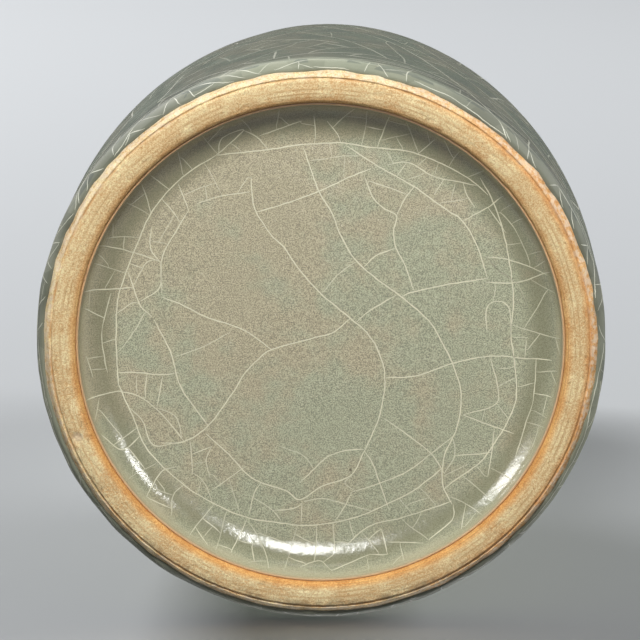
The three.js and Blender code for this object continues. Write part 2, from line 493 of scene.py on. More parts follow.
def makeRingClay():
    material, shader, place = startMaterial("ringClay", Roughness=0.72, Specular_IOR_Level=0.3)
    radius, _, across, down = placeParts(place)
    clay = used(clayGrain, place)
    wander = (blobs(place, 6.0) - 0.5) * 1.6
    reached = radius + wander

    # orange flash at the inner edge, more of it below, and on the outer edge to the right
    inner = rising(radius + wander * 0.3, 46.3, 44.9) * (rising(down, -34.0, 24.0) * 0.4 + 0.45)
    colour = mixed(inner, clay["Color"], tone(250, 204, 150), "MULTIPLY")
    outer = rising(reached, 47.6, 49.0) * rising(across, 10.0, 34.0)
    colour = mixed(outer * 0.6, colour, tone(246, 192, 136), "MULTIPLY")

    # brown in the groove, in a second line and in streaks, and soil rubbed into the outer lower side
    groove = band(radius, form["footRadius"] - ring["groove"], 0.35)
    colour = mixed(groove * rising(blobs(place, 4.0, 3.0), 0.36, 0.6) * 0.7, colour, tone(206, 152, 96))
    second = band(radius, form["footRadius"] - ring["secondLine"], 0.3)
    colour = mixed(second * rising(blobs(place, 5.0, 3.0), 0.4, 0.6) * 0.45, colour, tone(204, 156, 102))
    lines = flow("TexNoise", {"Scale": 1.0, "Detail": 2.0, "W": radius * 2.6}, noise_dimensions="1D")
    streaks = rising(lines, 0.5, 0.64) * rising(blobs(place, 8.0, 3.0), 0.42, 0.6)
    colour = mixed(streaks * 0.55, colour, tone(196, 150, 96))
    soil = rising(blobs(place, 3.6, 4.0, 0.7), 0.4, 0.66)
    soil = soil * rising(down * 0.016 + across * -0.002, 0.0, 0.8) * rising(reached, 47.2, 48.8)
    colour = mixed(soil * 0.7, colour, tone(146, 126, 96))

    # a pale crumbling fringe where the glaze stops, and the pale chip
    fringe = rising(reached, 48.8, 49.6) * rising(blobs(place, 0.9, 3.0), 0.4, 0.6)
    colour = mixed(fringe * 0.6, colour, tone(244, 226, 200))
    near = farFrom(place, Vector((*ring["chip"], 0))) + blobs(place, 1.0) * 1.2
    colour = mixed(rising(near, 1.9, 1.1) * 0.6, colour, tone(232, 212, 182))
    feed(shader, Base_Color=colour)
    relief(shader, clay["Height"], 0.14)
    return material


finished(makeFootRing(), makeRingClay(), ["foot_ring"])

# The glazed recess inside the ring
recess = dict(
    segments=384, panelRows=30, coveRows=34, backRows=10, backDrop=0.05, speck=(5.5, 24.4), speckSize=0.5,
    bead=((0.05, 1.39), (0.15, 1.31), (0.32, 1.33)), waveDepth=0.09, waveSize=13, waveFrom=(1.4, 3.0),
)


def makeBaseGlaze():
    skin = cove(form["coveEdge"], form["baseCoat"], recess["coveRows"])
    bead = [Vector((ringInner - inset, height)) for inset, height in recess["bead"]]
    rows = recess["panelRows"]
    panel = [Vector((panelRadius * (1 - i / rows), form["recessDepth"])) for i in range(1, rows + 1)]
    drop = recess["backDrop"]
    back = [Vector((0, panelHeight - drop))] + cove(drop, drop, recess["backRows"])[::-1]
    piece = turned("baseGlaze", back + bead + skin + panel, recess["segments"])

    def waves(at):
        if at.z > form["recessDepth"] + 0.1:
            return 0
        slow = 0.5 + 0.5 * noise.noise(at / recess["waveSize"])
        return recess["waveDepth"] * slow * eased(at.z, *recess["waveFrom"])

    press(piece, waves)
    return piece


# The recess's colours, with painted shade in the cove, shared by its glaze and by the lines of its crackle
def makeRecessTone():
    group, given, give = startGroup("recessTone", [], [("Color", "Color"), ("Bubbles", "Float")])
    place = given["Vector"]
    radius, _, across, down = placeParts(place)
    base = used(glazeTone, place, Coolness=across * 0.0016 + down * 0.0022 + 0.49)
    reached = radius + (blobs(place, 11.0) - 0.5) * 3.0
    # the glaze pools darker round the cove, and this band is also painted shade of the hollow, darker and
    # browner all round
    colour = mixed(band(reached, 40.6, 4.4) * 0.72, base["Color"], tone(117, 115, 86))
    colour = mixed(rising(reached, 42.4, 44.0) * 0.6, colour, tone(176, 168, 138))
    colour = mixed(rising(radius, ringInner - 0.7, ringInner - 0.2) * 0.85, colour, tone(196, 148, 98))
    give(Color=colour, Bubbles=base["Bubbles"])
    return group


recessTone = makeRecessTone()


def makeRecessGlaze():
    material, shader, place = startMaterial("recessGlaze", IOR=1.5)
    look = used(recessTone, place)
    near = farFrom(place, Vector((*recess["speck"], form["recessDepth"]))) + blobs(place, 0.5) * 0.4
    speck = rising(near, recess["speckSize"] + 0.1, recess["speckSize"] - 0.15)
    radius, _, _, _ = placeParts(place)
    matt = rising(radius, ringInner - 0.9, ringInner - 0.3) * 0.4
    rough = rising(blobs(place, 3.0, 3.0), 0.35, 0.65) * 0.05 + 0.15 + matt
    feed(shader, Base_Color=mixed(speck * 0.8, look["Color"], tone(86, 76, 58)), Roughness=rough)
    relief(shader, used(glazeSkin, place, Bubbles=look["Bubbles"])["Height"], 0.1)
    return material


baseGlaze = finished(makeBaseGlaze(), makeRecessGlaze(), ["base_glaze"])

# The coats outside and inside
coat = dict(
    segments=240, insideSegments=144, waveDepth=0.2, waveSize=34, waveFrom=(3, 12), leastPress=0.04,
    edgeWave=0.42, edgeWaveLength=5.5, edgeWaveUpTo=(9, 2.5), edgeLift=1.3, edgeLiftSize=3.4,
    edgeLiftUpTo=(4.5, 1.4), roll=0.85, rollEnd=1.3,
)


def makeOuterGlaze():
    end = marks[flareInside][1] + 1
    skin = moved(face[1:end], form["outerCoat"])
    back = moved(hidden[: hiddenMarks[flareInside][1] + 1], -form["sunk"])
    edge = face[0][0]
    up = leftOf(face[0][1])
    foot = edge + up * coat["roll"]
    roll = [foot + (Matrix.Rotation(math.radians(angle), 2) @ (edge - foot)) for angle in range(0, 91, 15)]
    section = roll + [at for at in skin if (at - edge).length > coat["rollEnd"]] + back[::-1] + roll[:1]
    piece = turned("outerGlaze", section, coat["segments"])

    def thrown(at):
        slow = 0.5 + 0.5 * noise.noise(at / coat["waveSize"])
        wave = 0.5 + 0.5 * noise.noise(Vector((at.x, at.y, at.z / 2)) / coat["edgeWaveLength"])
        low = coat["edgeWave"] * wave * eased(at.z, *coat["edgeWaveUpTo"])
        high = coat["waveDepth"] * slow * eased(at.z, *coat["waveFrom"])
        return coat["leastPress"] + low + high

    press(piece, thrown)

    # the coat's lower edge runs unevenly over the bare clay
    for vertex in piece.data.vertices:
        at = vertex.co / mm
        ragged = 0.5 + 0.5 * noise.noise(Vector((at.x, at.y, 0)) / coat["edgeLiftSize"])
        vertex.co.z += coat["edgeLift"] * ragged ** 2 * eased(at.z, *coat["edgeLiftUpTo"]) * mm
    return piece


def makeInnerGlaze():
    start, end = marks[flareInside][1], marks[-1][1] + 1
    skin = moved(face[start:end], form["innerCoat"])
    back = moved(hidden[hiddenMarks[flareInside][1]:], -form["sunk"])
    back[-1].x = skin[-1].x = 0
    return turned("innerGlaze", skin[::-1] + back, coat["insideSegments"])


# The wall's colours from foot to lip, with painted shade near the foot, shared by the outer coat, the inner
# one and the crackle
def makeWallTone():
    group, given, give = startGroup("wallTone", [], [("Color", "Color"), ("Bubbles", "Float")])
    place = given["Vector"]
    radius, height, across, down = placeParts(place)
    long = flow("VectorMath", {0: place, 1: (1.0, 1.0, 0.45)}, operation="MULTIPLY")
    coolness = rising(blobs(long, 9.0, 3.0), 0.38, 0.62) * 0.16 + 0.42
    base = used(glazeTone, place, Warm=tone(150, 151, 131), Cool=tone(136, 144, 125), Coolness=coolness,
                Mottle=0.35)
    wander = (blobs(place, 8.0) - 0.5) * 3.0
    level = height + wander
    colour = mixed(rising(level, 20.0, 5.0) * 0.4, base["Color"], tone(172, 174, 154))
    _, chance = cells(place, 6.5)
    colour = mixed(rising(level, 6.0, 3.0) * (chance * 0.45 + 0.55), colour, tone(119, 122, 105))

    # painted shade: the pale heel ends cell by cell in a painted jagged shadow border, a tone darker than
    # the wall's
    _, chance = cells(place, 4.2, part=1)
    heelShade = rising(height - chance * 3.0, 2.2, 2.5) * rising(height, 6.5, 4.8)
    colour = mixed(heelShade * 0.7, colour, tone(94, 100, 90))

    # painted shade: near the foot it is darker to both upper sides and at the bottom
    shaded = rising(maths("ABSOLUTE", across), 10.0, 30.0) * rising(down, 12.0, -16.0)
    shaded = maths("MAXIMUM", shaded, rising(down, 20.0, 40.0)) * rising(level, 16.0, 8.0)
    colour = mixed(shaded * 0.6, colour, tone(178, 178, 184), "MULTIPLY")

    # glaze pools deeper at the root of the neck and in the dish, and is thin on the lip
    root = band(level, rootHeight - 1.7, 7.0) * rising(radius, 31.0, 21.0) * 0.5
    dish = band(level, dishHeight, 6.0) * rising(radius, 32.4, 31.4) * 0.4
    for pool in (root, dish):
        colour = mixed(pool, colour, tone(112, 128, 106))
    lip = rising(height + wander * 0.25, lipTop - 1.0, lipTop + 0.6) * 0.75
    give(Color=mixed(lip, colour, tone(172, 160, 128)), Bubbles=base["Bubbles"])
    return group


wallTone = makeWallTone()


def makeWallGlaze():
    material, shader, place = startMaterial("wallGlaze", IOR=1.5)
    look = used(wallTone, place)
    _, height, _, _ = placeParts(place)
    rough = rising(blobs(place, 5.0, 3.0), 0.35, 0.65) * 0.08 + 0.2 + rising(height, 8.0, 3.0) * 0.5
    feed(shader, Base_Color=look["Color"], Roughness=rough)
    skin = used(glazeSkin, place, Bubbles=look["Bubbles"], Peel=0.3)
    relief(shader, skin["Height"] + throwingRings(place, 26.0, 1.0, 9.0) * 0.16, 0.12)
    return material


outerGlaze = finished(makeOuterGlaze(), makeWallGlaze(), ["outer_glaze"])


# Inside, the crackle lies too deep in the vase to be modelled line by line, so the material draws it
def makeInsideGlaze():
    material, shader, place = startMaterial("insideGlaze", Roughness=0.24, IOR=1.5)
    warp = flow("TexNoise", {"Vector": place, "Scale": 0.3}, "Color")
    bent = flow("VectorMath", {0: warp, "Scale": 3.0}, operation="SCALE")
    bent = flow("VectorMath", {0: place, 1: bent}, operation="ADD")
    toEdge = flow("TexVoronoi", {"Vector": bent, "Scale": 1 / 8.0}, "Distance", feature="DISTANCE_TO_EDGE")
    line = rising(toEdge, 0.03, 0.012) * 0.6
    feed(shader, Base_Color=mixed(line, used(wallTone, place)["Color"], tone(196, 190, 168)))
    relief(shader, blobs(place, 6.0), 0.1)
    return material


finished(makeInnerGlaze(), makeInsideGlaze(), ["inner_glaze"])
print("clay and coats done")


# A piece's skin, on which the nearest place can be found and the one that a ray meets
def skinOf(piece):
    return BVHTree.FromObject(piece, bpy.context.evaluated_depsgraph_get())


# Where a ray that goes straight up from under the foot meets a skin, and the normal there
def metFromBelow(skin, across, down):
    return skin.ray_cast(Vector((across * mm, down * mm, -5 * mm)), Vector((0, 0, 1)))[:2]


# A web of cracks on a glaze. A chart turns a place of two numbers into a point in millimetres and
# tells how far each number moves for one millimetre along the glaze.
class CrackWeb:
    fine = 0.8  # the size of the boxes in which a crack looks for one to end on
    step = 0.4
    meeting = 0.45  # a crack that comes this near to another ends on it
    parting = 3  # for so long it can't end on the crack that it leaves
    sway = 0.035  # how much its heading strays at each step
    slant = 0.26  # how far from square a side crack leaves
    flank = 0.62  # how fast the room that a crack needs beside it grows from its ends
    poorShare = 0.15  # the share of its places that may lack that room
    startRoom, endRoom, sideRoom, shortest, longest = 0.5, 0.4, 0.55, 0.7, (4, 9)  # in gaps

    def __init__(self, chart, coarse, seed):
        self.chart = chart
        self.coarse = coarse
        self.dice = random.Random(seed)
        self.lines = []
        self.starts = []
        self.fineCells = {}
        self.coarseCells = {}

    def around(self, cells, size, point):
        x, y, z = (math.floor(value / size) for value in point)
        for i in (x - 1, x, x + 1):
            for j in (y - 1, y, y + 1):
                for k in (z - 1, z, z + 1):
                    yield from cells.get((i, j, k), ())

    def keep(self, places, strength):
        line = len(self.lines)
        self.lines.append((places, strength))
        self.starts += [(line, i) for i in range(2, len(places) - 2)]
        for i, spot in enumerate(places):
            point = self.chart.point(spot)
            key = tuple(math.floor(value / self.fine) for value in point)
            self.fineCells.setdefault(key, []).append((line, point, spot))
            if i % 3 == 0:
                key = tuple(math.floor(value / self.coarse) for value in point)
                self.coarseCells.setdefault(key, []).append((line, point))

    # The nearest crack that a point meets, other than one, as its number and the place
    def met(self, point, leaving):
        best = None
        for line, other, spot in self.around(self.fineCells, self.fine, point):
            if line != leaving:
                far = (other - point).length
                if far < self.meeting and (best is None or far < best[0]):
                    best = (far, line, spot)
        return best and best[1:]

    # Lets one crack run from a place until it meets another, leaves the glaze or is at its longest
    def grow(self, spot, heading, leaving, longest, bend):
        places = [spot]
        travelled = 0
        while travelled < longest:
            across, along = self.chart.stretch(spot)
            aside, ahead = math.sin(heading) * self.step * across, math.cos(heading) * self.step * along
            spot = (spot[0] + aside, spot[1] + ahead)
            travelled += self.step
            if not self.chart.inside(spot):
                return places, leaving
            hit = self.met(self.chart.point(spot), leaving if travelled < self.parting else None)
            if hit:
                return places + [hit[1]], hit[0]
            places.append(spot)
            heading += bend * self.step + self.dice.gauss(0, self.sway)
        return places, None

    # Grows a crack, and keeps it if it has more than the least number of places
    def sow(self, spot, heading, leaving, longest, bend, least, strength):
        places, _ = self.grow(spot, heading, leaving, longest, bend)
        if len(places) > least:
            self.keep(places, strength)

    # Whether no crack other than those named comes closer than a gap
    def free(self, spot, gap, but):
        point = self.chart.point(spot)
        near = self.around(self.coarseCells, self.coarse, point)
        return all(line in but or (other - point).length > gap for line, other in near)

    # Whether a fresh crack keeps clear of the others, save where it leaves one and meets one
    def clear(self, places, gap):
        points = [self.chart.point(spot) for spot in places]
        poor = count = 0
        for i in range(2, len(points) - 2, 3):
            toEnd = min(i, len(points) - 1 - i) * self.step
            need = min(gap, self.flank * toEnd)
            count += 1
            near = self.around(self.coarseCells, self.coarse, points[i])
            if any((other - points[i]).length < need for _, other in near):
                poor += 1
        return count > 0 and poor <= self.poorShare * count

    # Tries to grow side cracks from those that are there, each where its cell still has room
    def fill(self, tries, gapAt, strengths):
        for _ in range(tries):
            line, i = self.dice.choice(self.starts)
            before, spot, after = self.lines[line][0][i - 1: i + 2]
            if (self.chart.point(after) - self.chart.point(before)).length == 0:
                continue
            across, along = self.chart.stretch(spot)
            heading = math.atan2((after[0] - before[0]) / across, (after[1] - before[1]) / along)
            heading = heading + self.dice.choice((-1, 1)) * math.pi / 2 + self.dice.gauss(0, self.slant)
            gap = gapAt(spot)
            if not gap or not self.free(spot, self.startRoom * gap, (line,)):
                continue
            longest = gap * self.dice.uniform(*self.longest)
            places, ended = self.grow(spot, heading, line, longest, self.dice.gauss(0, 0.02))
            if ended is None or len(places) * self.step < self.shortest * gap:
                continue
            if not gapAt(places[len(places) // 2]) or not gapAt(places[-1]):
                continue
            roomy = self.free(places[-1], self.endRoom * gap, (line, ended))
            if roomy and self.clear(places, gap * self.sideRoom):
                self.keep(places, self.dice.choice(strengths))


# Joins points by a smooth curve through them, in nearly even steps
def smoothed(points, step):
    ends = [points[0] * 2 - points[1]] + points + [points[-1] * 2 - points[-2]]
    curve = []
    for a, b, c, d in zip(ends, ends[1:], ends[2:], ends[3:]):
        count = max(1, round((c - b).length / step))
        for i in range(count):
            t = i / count
            curve.append(0.5 * (2 * b + (c - a) * t + (2 * a - 5 * b + 4 * c - d) * t * t
                                + (3 * b - a - 3 * c + d) * t * t * t))
    return curve + [points[-1]]


# The numbers of the points that a line keeps when it needs few where it runs straight
def thinned(points, stray, longest):
    kept = [0]
    for i in range(2, len(points)):
        start, end = points[kept[-1]], points[i]
        chord = (end - start).normalized()
        off = max(((p - start) - chord * (p - start).dot(chord)).length for p in points[kept[-1] + 1: i])
        if off > stray or (end - start).length > longest:
            kept.append(i - 1)
    kept.append(len(points) - 1)
    return kept


# How width and colour vary along the cracks of both webs. Heights are above the foot.
crackShape = dict(
    leastWidth=0.55, strengthWidth=0.45, tipWidth=0.4, innerWidth=0.6, tipLength=1.2, uneven=0.35,
    unevenScale=0.8, wideBelow=(40, 16), wideAbove=(4, 9), thinning=0.4, thinBelow=(7, 4), patchy=0.3,
    patchScale=0.25, shadeFadeDown=(22, 42), shadeFadeBelow=(10, 5),
)


# Lays cracks on a glaze as slim wedges: two edges a hair above the skin and one below it
def layCracks(name, glaze, lines, look):
    skin = skinOf(glaze)
    shape, vertices, faces, strengths = crackShape, [], [], []
    for points, strength in lines:
        spots = [skin.find_nearest(point * mm) for point in points]
        kept = thinned([spot[0] for spot in spots], look["stray"] * mm, look["longest"] * mm)
        if len(kept) < 2:
            continue
        first = len(vertices)
        width = look["width"] * (shape["leastWidth"] + shape["strengthWidth"] * strength)
        for k, i in enumerate(kept):
            at, normal, _, _ = spots[i]
            place, height = at / mm, at.z / mm
            before, after = spots[kept[max(0, k - 1)]][0], spots[kept[min(len(kept) - 1, k + 1)]][0]
            side = normal.cross(after - before).normalized()
            reach = min(i, len(spots) - 1 - i) * look["step"]
            tip = shape["tipWidth"] + shape["innerWidth"] * min(1, reach / shape["tipLength"])
            half = width / 2 * tip * (1 + shape["uneven"] * noise.noise(place * shape["unevenScale"]))
            wider = eased(height, *shape["wideBelow"]) * eased(height, *shape["wideAbove"])
            wider -= shape["thinning"] * eased(height, *shape["thinBelow"])
            half *= 1 + look["swell"] * wider
            lift, aside = normal * look["proud"], side * half
            vertices += [at + (lift - aside) * mm, at + (lift + aside) * mm, at - normal * look["deep"] * mm]
            # painted shade: the cracks' pale fades towards the lower side of the heel, near the foot
            shadedShare = look["shadeFade"] * eased(at.y / mm, *shape["shadeFadeDown"])
            seen = 1 - shadedShare * eased(height, *shape["shadeFadeBelow"])
            patch = 1 + shape["patchy"] * noise.noise(place * shape["patchScale"])
            strengths += [seen * strength * patch] * 3
        for k in range(len(kept) - 1):
            a = first + 3 * k
            faces += [(a, a + 3, a + 4, a + 1), (a + 1, a + 4, a + 5, a + 2), (a + 2, a + 5, a + 3, a)]
        last = len(vertices) - 3
        faces += [(first, first + 1, first + 2), (last, last + 2, last + 1)]
    mesh = bpy.data.meshes.new(name)
    mesh.from_pydata(vertices, [], faces)
    mesh.attributes.new("strength", "FLOAT", "POINT").data.foreach_set("value", strengths)
    piece = bpy.data.objects.new(name, mesh)
    scene.collection.objects.link(piece)
    bpy.ops.object.select_all(action="DESELECT")
    bpy.context.view_layer.objects.active = piece
    piece.select_set(True)
    turnOutwards()
    return piece


# A crack shows as a pale line where it is strong, and sinks into the glaze's colour where it is faint
def makeCrackLine(name, group, pale):
    material, shader, place = startMaterial(name, Roughness=0.45, IOR=1.5)
    strength = flows(place.tree, "Attribute", attribute_name="strength")["Fac"]
    share = maths("MULTIPLY", strength, blobs(place, 2.5, 3.0) * 0.5 + 0.72, clamp=True)
    feed(shader, Base_Color=mixed(share, used(group, place)["Color"], pale))
    return material


# The recess's crackle. Each listed line goes across, up, across, up from the middle.
class RecessChart:
    edge = 43.75

    def point(self, spot):
        return Vector((spot[0], spot[1], 0))

    def stretch(self, spot):
        return 1, 1

    def inside(self, spot):
        return math.hypot(*spot) < self.edge


recessCracks = dict(
    step=0.3, width=0.21, swell=0, shadeFade=0, proud=0.015, deep=0.08, stray=0.004, longest=0.8, waver=0.09,
    shift=(-0.52, -0.68), tries=6000, gap=3.5, gapFrom=30, fillStrengths=(0.5, 0.65, 0.8),
    arcs=22, arcRadius=(39, 41.5), arcLength=(5, 16), arcGap=2.4, arcStrength=0.75,
    rays=44, rayLength=20, rayGap=1.6, rayClear=1.4, rayStrengths=(0.4, 0.5, 0.6),
    strong=[
        (-18.4, 33.6, -9, 34.6, -3.3, 35.5, 4, 35.9, 9.4, 35.1, 16.5, 34.4, 22.2, 32.3, 26.3, 30.2, 28.5,
         28.7, 30.9, 26.5),
        (-18.4, 33.6, -24.6, 29.5, -30, 23.4, -32.9, 17.2, -35.3, 11, -36.8, 5, -36.8, -6.9, -36, -10.6,
         -34, -15.3, -31.4, -21.4, -25.4, -27.6, -19.5, -31.5, -13.4, -34.2, -6.6, -35.3, -0.7, -35.7, 6.8,
         -34.2, 12.1, -31.9, 18, -28.7, 23, -24.6),
        (29.4, 29.8, 31.6, 25.7, 33.5, 20.4, 34.9, 14, 35.7, 6.9, 35.3, 0.8, 36, -4.6, 36.4, -11, 34.9,
         -15.7, 32.7, -19.5, 29.8, -23.6, 25.2, -27, 23, -28.9),
        (-2.6, 34.9, 0.2, 27, 2.4, 23.3, 4, 19.3, 6.8, 14.4, 11.2, 10.5, 15.8, 7.1, 20.2, 3.1, 22.6, -0.7,
         24.8, -5.4, 26.3, -10.6, 25.6, -16.9, 23.3, -22.3, 23, -27.6, 24.8, -31.5),
        (-12.1, 29.5, -11.9, 25.9, -11.2, 23.1, -8.5, 18.9, -6.1, 16.5, -3.7, 12.9, 0.4, 8.2, 5.9, 3.5, 9,
         0.7, 11.2, -2.9, 12.3, -7.6, 11.4, -14.6, 8.6, -21.6),
        (-11.2, 23.1, -5, 25, 0.2, 27, 5.5, 29.5, 9.7, 31.2),
        (5.9, 3.4, 2.6, 0.7, -1.7, -0.5, -8.5, -2.5, -11.2, -4.6, -13.4, -6.9, -15.6, -10.6, -20.2, -16.9,
         -24.6, -19.9, -28.9, -20.2),
        (-28.5, 7.3, -24.6, 5.7, -20.2, 3.5, -13.6, 1.2, -8.5, -2.5),
        (8.6, 29.5, 9.9, 26.1, 11.8, 24, 14.3, 22.5, 13.8, 19.9, 14.2, 16.7, 15.8, 13.5, 17.5, 8.8),
        (5.3, 35.3, 10.5, 31.9, 17.3, 28, 22.6, 24.2, 26.3, 21.6, 28.9, 17.2, 30.9, 11),
        (30.9, 11, 24.1, 9.9, 17.3, 8.4, 15.4, 7.6),
        (12.5, -7.6, 18, -7.3, 24.4, -5, 31.6, -3.5, 38.2, -3.9, 42.8, -3.9),
        (-30, 3.1, -27, -3.1, -25.4, -9.1, -22.4, -13.8, -20.2, -16.9),
        (-20.6, -18.4, -16.4, -22.3, -13.4, -25.7, -10.5, -27.6, -5.9, -29.1, -3.3, -30.8, 0.7, -28.3, 6.1,
         -26.1, 8.6, -21.4),
        (8.5, 13.1, 10.7, 15.2, 14, 16.5),
    ],
    fair=[
        (-18.4, 33.6, -13.4, 38.3, -17.3, 36.8, -18, 33.8),
        (7, 2.7, 9.6, 5, 14.3, 7.8),
        (14.3, 22.5, 15.8, 25.7, 17.6, 28),
        (-36.8, -10.3, -32.5, -11.6, -28.5, -15, -24.6, -19.9),
        (-3.3, -27.6, -0.7, -25, 1.7, -22.7, 5.3, -21.4, 8.5, -21.2),
        (12.1, -15.3, 16.5, -18.4, 20.8, -21.9, 23.3, -25.7),
        (8.6, -21.6, 10.1, -23.8, 11.4, -27.6, 13.2, -32.7),
        (26.7, -14.6, 31.6, -16.5, 36, -18),
        (-23.5, 23.4, -26.3, 18.7, -28.5, 14.2, -28.5, 8),
        (-22.1, 24.6, -17.3, 26.1, -12.3, 26.8),
        (-25.4, 28.3, -23.5, 23.4),
        (-30.3, 20.2, -30.5, 16.3, -28.5, 13.5),
        (-40.4, 17.6, -32.9, 15.3, -28.5, 13.8),
        (-31.8, 28.7, -30.3, 22.7),
        (-13.4, 38.3, -10.8, 36.8, -9, 34.6),
        (-10.5, 37.2, -2.9, 40),
        (-0.7, 41.1, -0.4, 38, -0.6, 35.7),
        (1.7, 40, 3.5, 37.6, 4.2, 35.9),
        (12.9, 41.1, 10.7, 34.9),
        (18, 33.8, 21.1, 36.8),
        (12.5, 31.9, 16.5, 32.3, 21.1, 29.8, 26.3, 28.7, 29, 28.3),
        (23, 29.5, 21.1, 26.5),
        (26.3, 28.7, 27, 26.5, 28.5, 24.2),
        (26.3, 21.6, 30.9, 24.2, 33.5, 26.5),
        (30.9, 24.2, 34.2, 19.5),
        (30.9, 1.2, 30.7, 4.6, 31.6, 6.5, 34, 6.5, 35.1, 4.6, 35.3, -0.7),
        (30.5, 15, 34.2, 14.6, 39.2, 13.1, 41.7, 12),
        (30.5, 10.3, 36.4, 10.3, 42.1, 12.7),
        (30.9, 15, 32.7, 12.7, 36.4, 9.9, 38.4, 5.7),
        (-34.7, 12, -33.6, 8.8, -32.5, 5.7, -30.3, 3.5),
        (-32.5, 6.5, -31.1, 7.3, -28.9, 9.1, -28.5, 13.5),
        (-43.4, 8.8, -36.8, 8.8, -33.6, 9),
        (-37.1, 3.9, -34, 6.1, -32.5, 5.9),
        (-36.8, -6.9, -33.3, -6.9, -28.5, -7.3, -25.7, -6.9),
        (-28.5, -7.6, -29.6, -13.5),
        (-34.7, -13.5, -32.2, -16.1, -30.3, -20.6, -25, -19.9),
        (-23.5, -19.9, -23.2, -23.8, -23.2, -26.1),
        (-23.2, -22.3, -19.5, -20.8),
        (-13.4, -24.6, -16.4, -26.8, -19.5, -29.1),
        (-10.5, -27.6, -11.9, -30, -12.7, -33.8),
        (-8.3, -32.9, -4.4, -32.5, -2.9, -31.5),
        (-2.9, -31.5, -3.1, -35.3),
        (-2.6, -31.2, 0.7, -30.6, 4.6, -31.5, 10.1, -32.9),
        (6.4, -29.1, 4.6, -32.7, 3.1, -34.9),
        (6.4, -29.3, 11.4, -27.6, 16.5, -25.3, 20.4, -22.3, 24.8, -18.7),
        (25.2, -22.3, 30.1, -21.9, 32, -21.6),
        (32.4, -17.2, 32, -21.6, 31.3, -26.1),
        (26.7, -14.6, 32.4, -12.7, 33.1, -9.9, 31.6, -3.9),
        (-42.3, -11.4, -40.1, -11, -36, -10.3),
        (-39.7, -18, -36, -21.2, -32.5, -18.7),
        (-31.5, -29.8, -28.9, -25.7, -25.7, -24.6),
        (-16, -40.5, -14.5, -37.6, -13.1, -34.6),
        (2.8, -35.3, 3.1, -40.8),
        (5.3, -39.3, 9.7, -35.7, 15.4, -34.2, 22.2, -31.9, 24.8, -30.8),
        (11.8, -36.4, 12.9, -40.8),
        (20.5, -38, 24.8, -34.2, 25, -31.5),
    ],
    faint=[
        (7, 14, 3.9, 11.8, 0.9, 8.2),
        (-7.4, -20.6, -2.9, -22.3, -0.7, -25),
        (30.9, 15, 32.7, 12.7, 36.4, 9.9, 38.4, 5.7),
        (-33.6, 9.5, -31.4, 13.5, -29.4, 14.2),
        (-26.1, -3.9, -21, -2, -16, 0.8),
        (-33.3, -7.6, -33.3, -11.2),
        (-29.6, -13.5, -26.1, -15.3, -25, -19.5),
        (-19.5, -20.8, -20.6, -23.4, -19.9, -26.8),
        (-23.2, -25.7, -21, -27.6, -19.5, -31.5),
        (-12.7, -30, -8.6, -32.7, -6.8, -34.9),
        (6.4, -26.1, 5, -27.6, 6.8, -29.1),
        (24.8, -18.7, 25.2, -22.3, 23.3, -25.7),
        (23.3, -26.1, 27.8, -23.8),
        (35.7, -3.1, 36.2, -5, 35.3, -5.7, 32.7, -5.7),
        (35.7, 0, 38.4, 0),
        (-42.3, -3.5, -41.2, -7.6),
        (-40.1, -11.4, -40.8, -15.5),
        (-27, -33.5, -26.7, -30, -24.6, -28),
        (-3.3, -43.2, -0.7, -42.3, 0.7, -42.3, 2.2, -43.5),
        (12.9, -38.7, 19.5, -38.6),
    ],
)


def makeRecessCracks():
    look = recessCracks
    web = CrackWeb(RecessChart(), 3, seed=12)
    shift = Vector(look["shift"])
    for kind, strength in (("strong", 1.0), ("fair", 0.85), ("faint", 0.65)):
        for line in look[kind]:
            corners = [Vector((across, -up)) + shift for across, up in zip(line[::2], line[1::2])]
            points = smoothed(corners, web.step)
            for i, point in enumerate(points[1:-1], 1):
                waver = noise.noise_vector(Vector((point.x, point.y, 3)) * 0.7).to_2d()
                points[i] = point + waver * look["waver"]
            web.keep([tuple(point) for point in points], strength)

    # cracks along the cove, then fine ones that run in over it until they meet another
    dice = random.Random(4)
    for _ in range(look["arcs"]):
        angle, radius = math.tau * dice.random(), dice.uniform(*look["arcRadius"])
        start = (radius * math.cos(angle), radius * math.sin(angle))
        if web.free(start, look["arcGap"], ()):
            for way in (1, -1):
                heading = (0 if way == 1 else math.pi) - angle + dice.gauss(0, 0.12)
                leaving = None if way == 1 else len(web.lines) - 1
                longest = dice.uniform(*look["arcLength"])
                web.sow(start, heading, leaving, longest, -way / radius, 4, look["arcStrength"])
    for i in range(look["rays"]):
        angle = math.tau * (i + dice.uniform(-0.6, 0.6)) / look["rays"]
        radius = web.chart.edge - 0.1
        start = (radius * math.cos(angle), radius * math.sin(angle))
        if web.free(start, look["rayGap"], ()):
            inward = -math.pi / 2 - angle + dice.gauss(0, 0.3)
            places, ended = web.grow(start, inward, None, look["rayLength"], dice.gauss(0, 0.03))
            if ended is not None and len(places) > 5 and web.clear(places, look["rayClear"]):
                web.keep(places, dice.choice(look["rayStrengths"]))

    def gapAt(spot):
        return 0 if math.hypot(*spot) < look["gapFrom"] else look["gap"]

    web.fill(look["tries"], gapAt, look["fillStrengths"])
    skin = skinOf(baseGlaze)
    lines = []
    for places, strength in web.lines:
        hits = [metFromBelow(skin, *spot)[0] for spot in places]
        lines.append((smoothed([hit / mm for hit in hits if hit], look["step"]), strength))
    return layCracks("baseCracks", baseGlaze, lines, look)


baseCracks = finished(makeRecessCracks(), makeCrackLine("recessCrackLine", recessTone, tone(210, 206, 178)))


